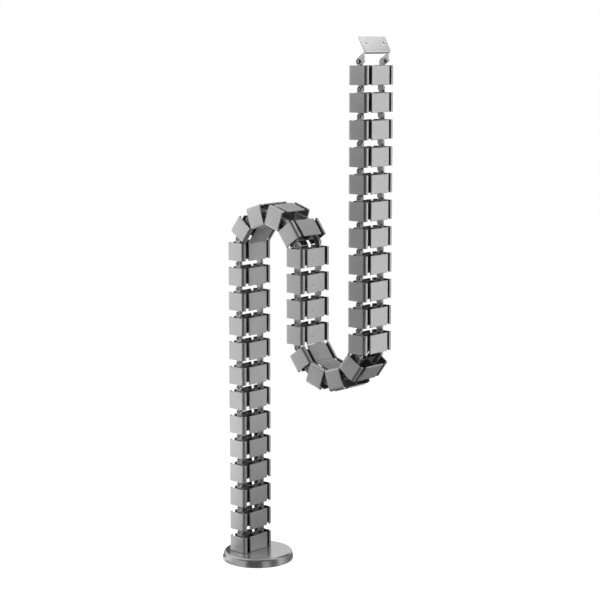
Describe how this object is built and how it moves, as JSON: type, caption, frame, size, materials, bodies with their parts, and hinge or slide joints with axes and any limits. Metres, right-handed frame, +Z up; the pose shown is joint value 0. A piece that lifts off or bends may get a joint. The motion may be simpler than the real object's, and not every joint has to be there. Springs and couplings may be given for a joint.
{
  "type": "cable spine",
  "caption": "Flexible cable spine: a chain of slotted hinged links in an S shape between a round weighted base and a folded desk bracket.",
  "frame": {"origin": "centre of the base's underside, on the floor", "axes": "+Z up along the straight columns, +Y along every hinge axis, +X from the first column towards the bracket"},
  "size_m": [0.2682, 0.102, 0.737],
  "materials": {
    "link_plastic": "satin silver grey, moulded",
    "base_coat": "silver grey lacquer over steel, semi-gloss",
    "pad_rubber": "matt black",
    "bracket_coat": "light grey lacquer over folded steel sheet",
    "pin_steel": "bright"
  },
  "bodies": {
    "base": {"base_weight": "base_coat", "base_pad": "pad_rubber", "link_01": "link_plastic"},
    "segment_02": {"link_02": "link_plastic"},
    "segment_03": {"link_03": "link_plastic"},
    "segment_04": {"link_04": "link_plastic"},
    "segment_05": {"link_05": "link_plastic"},
    "segment_06": {"link_06": "link_plastic"},
    "segment_07": {"link_07": "link_plastic"},
    "segment_08": {"link_08": "link_plastic"},
    "segment_09": {"link_09": "link_plastic"},
    "segment_10": {"link_10": "link_plastic"},
    "segment_11": {"link_11": "link_plastic"},
    "segment_12": {"link_12": "link_plastic"},
    "segment_13": {"link_13": "link_plastic"},
    "segment_14": {"link_14": "link_plastic"},
    "segment_15": {"link_15": "link_plastic"},
    "segment_16": {"link_16": "link_plastic"},
    "segment_17": {"link_17": "link_plastic"},
    "segment_18": {"link_18": "link_plastic"},
    "segment_19": {"link_19": "link_plastic"},
    "segment_20": {"link_20": "link_plastic"},
    "segment_21": {"link_21": "link_plastic"},
    "segment_22": {"link_22": "link_plastic"},
    "segment_23": {"link_23": "link_plastic"},
    "segment_24": {"link_24": "link_plastic"},
    "segment_25": {"link_25": "link_plastic"},
    "segment_26": {"link_26": "link_plastic"},
    "segment_27": {"link_27": "link_plastic"},
    "segment_28": {"link_28": "link_plastic"},
    "segment_29": {"link_29": "link_plastic"},
    "segment_30": {"link_30": "link_plastic"},
    "segment_31": {"link_31": "link_plastic"},
    "segment_32": {"link_32": "link_plastic"},
    "segment_33": {"link_33": "link_plastic"},
    "segment_34": {"link_34": "link_plastic"},
    "segment_35": {"link_35": "link_plastic"},
    "segment_36": {"link_36": "link_plastic"},
    "desk_bracket": {"bracket": "bracket_coat", "bracket_pins": "pin_steel"}
  },
  "joints": [
    {"name": "joint_01", "type": "hinge", "parent": "base", "child": "segment_02", "pos_m": [-0.0142, 0, 0.0402], "axis": [0, 1, 0], "range_deg": [-36, 36]},
    {"name": "joint_02", "type": "hinge", "parent": "segment_02", "child": "segment_03", "pos_m": [-0.0142, 0, 0.0752], "axis": [0, -1, 0], "range_deg": [-36, 36]},
    {"name": "joint_03", "type": "hinge", "parent": "segment_03", "child": "segment_04", "pos_m": [-0.0142, 0, 0.1102], "axis": [0, -1, 0], "range_deg": [-36, 36]},
    {"name": "joint_04", "type": "hinge", "parent": "segment_04", "child": "segment_05", "pos_m": [-0.0142, 0, 0.1452], "axis": [0, 1, 0], "range_deg": [-36, 36]},
    {"name": "joint_05", "type": "hinge", "parent": "segment_05", "child": "segment_06", "pos_m": [-0.0142, 0, 0.1802], "axis": [0, 1, 0], "range_deg": [-36, 36]},
    {"name": "joint_06", "type": "hinge", "parent": "segment_06", "child": "segment_07", "pos_m": [-0.0142, 0, 0.2152], "axis": [0, -1, 0], "range_deg": [-36, 36]},
    {"name": "joint_07", "type": "hinge", "parent": "segment_07", "child": "segment_08", "pos_m": [-0.0142, 0, 0.2502], "axis": [0, -1, 0], "range_deg": [-36, 36]},
    {"name": "joint_08", "type": "hinge", "parent": "segment_08", "child": "segment_09", "pos_m": [-0.0142, 0, 0.2852], "axis": [0, 1, 0], "range_deg": [-36, 36]},
    {"name": "joint_09", "type": "hinge", "parent": "segment_09", "child": "segment_10", "pos_m": [-0.0142, 0, 0.3202], "axis": [0, 1, 0], "range_deg": [-36, 36]},
    {"name": "joint_10", "type": "hinge", "parent": "segment_10", "child": "segment_11", "pos_m": [-0.0142, 0, 0.3552], "axis": [0, -1, 0], "range_deg": [-36, 36]},
    {"name": "joint_11", "type": "hinge", "parent": "segment_11", "child": "segment_12", "pos_m": [-0.0142, 0, 0.3902], "axis": [0, -1, 0], "range_deg": [-36, 36]},
    {"name": "joint_12", "type": "hinge", "parent": "segment_12", "child": "segment_13", "pos_m": [-0.0142, 0, 0.4252], "axis": [0, 1, 0], "range_deg": [-36, 33]},
    {"name": "joint_13", "type": "hinge", "parent": "segment_13", "child": "segment_14", "pos_m": [-0.0142, 0, 0.4602], "axis": [0, 1, 0], "range_deg": [-72, 0]},
    {"name": "joint_14", "type": "hinge", "parent": "segment_14", "child": "segment_15", "pos_m": [0.00637, 0, 0.48852], "axis": [0, 1, 0], "range_deg": [-72, 0]},
    {"name": "joint_15", "type": "hinge", "parent": "segment_15", "child": "segment_16", "pos_m": [0.03966, 0, 0.49933], "axis": [0, 1, 0], "range_deg": [-72, 0]},
    {"name": "joint_16", "type": "hinge", "parent": "segment_16", "child": "segment_17", "pos_m": [0.07295, 0, 0.48852], "axis": [0, 1, 0], "range_deg": [-72, 0]},
    {"name": "joint_17", "type": "hinge", "parent": "segment_17", "child": "segment_18", "pos_m": [0.09352, 0, 0.4602], "axis": [0, 1, 0], "range_deg": [-72, 0]},
    {"name": "joint_18", "type": "hinge", "parent": "segment_18", "child": "segment_19", "pos_m": [0.09352, 0, 0.4252], "axis": [0, 1, 0], "range_deg": [-36, 36]},
    {"name": "joint_19", "type": "hinge", "parent": "segment_19", "child": "segment_20", "pos_m": [0.09352, 0, 0.3902], "axis": [0, -1, 0], "range_deg": [-36, 36]},
    {"name": "joint_20", "type": "hinge", "parent": "segment_20", "child": "segment_21", "pos_m": [0.09352, 0, 0.3552], "axis": [0, -1, 0], "range_deg": [-36, 36]},
    {"name": "joint_21", "type": "hinge", "parent": "segment_21", "child": "segment_22", "pos_m": [0.09352, 0, 0.3202], "axis": [0, -1, 0], "range_deg": [-72, 0]},
    {"name": "joint_22", "type": "hinge", "parent": "segment_22", "child": "segment_23", "pos_m": [0.11409, 0, 0.29188], "axis": [0, -1, 0], "range_deg": [-72, 0]},
    {"name": "joint_23", "type": "hinge", "parent": "segment_23", "child": "segment_24", "pos_m": [0.14738, 0, 0.28107], "axis": [0, -1, 0], "range_deg": [-72, 0]},
    {"name": "joint_24", "type": "hinge", "parent": "segment_24", "child": "segment_25", "pos_m": [0.18066, 0, 0.29188], "axis": [0, -1, 0], "range_deg": [-72, 0]},
    {"name": "joint_25", "type": "hinge", "parent": "segment_25", "child": "segment_26", "pos_m": [0.20124, 0, 0.3202], "axis": [0, -1, 0], "range_deg": [-72, 0]},
    {"name": "joint_26", "type": "hinge", "parent": "segment_26", "child": "segment_27", "pos_m": [0.20124, 0, 0.3552], "axis": [0, 1, 0], "range_deg": [-34, 36]},
    {"name": "joint_27", "type": "hinge", "parent": "segment_27", "child": "segment_28", "pos_m": [0.20124, 0, 0.3902], "axis": [0, 1, 0], "range_deg": [-36, 36]},
    {"name": "joint_28", "type": "hinge", "parent": "segment_28", "child": "segment_29", "pos_m": [0.20124, 0, 0.4252], "axis": [0, -1, 0], "range_deg": [-36, 36]},
    {"name": "joint_29", "type": "hinge", "parent": "segment_29", "child": "segment_30", "pos_m": [0.20124, 0, 0.4602], "axis": [0, -1, 0], "range_deg": [-36, 36]},
    {"name": "joint_30", "type": "hinge", "parent": "segment_30", "child": "segment_31", "pos_m": [0.20124, 0, 0.4952], "axis": [0, 1, 0], "range_deg": [-36, 36]},
    {"name": "joint_31", "type": "hinge", "parent": "segment_31", "child": "segment_32", "pos_m": [0.20124, 0, 0.5302], "axis": [0, 1, 0], "range_deg": [-36, 36]},
    {"name": "joint_32", "type": "hinge", "parent": "segment_32", "child": "segment_33", "pos_m": [0.20124, 0, 0.5652], "axis": [0, -1, 0], "range_deg": [-36, 36]},
    {"name": "joint_33", "type": "hinge", "parent": "segment_33", "child": "segment_34", "pos_m": [0.20124, 0, 0.6002], "axis": [0, -1, 0], "range_deg": [-36, 36]},
    {"name": "joint_34", "type": "hinge", "parent": "segment_34", "child": "segment_35", "pos_m": [0.20124, 0, 0.6352], "axis": [0, 1, 0], "range_deg": [-36, 36]},
    {"name": "joint_35", "type": "hinge", "parent": "segment_35", "child": "segment_36", "pos_m": [0.20124, 0, 0.6702], "axis": [0, 1, 0], "range_deg": [-36, 36]},
    {"name": "bracket_hinge", "type": "hinge", "parent": "segment_36", "child": "desk_bracket", "pos_m": [0.20124, 0, 0.7052], "axis": [0, -1, 0], "range_deg": [-40, 130]}
  ]
}
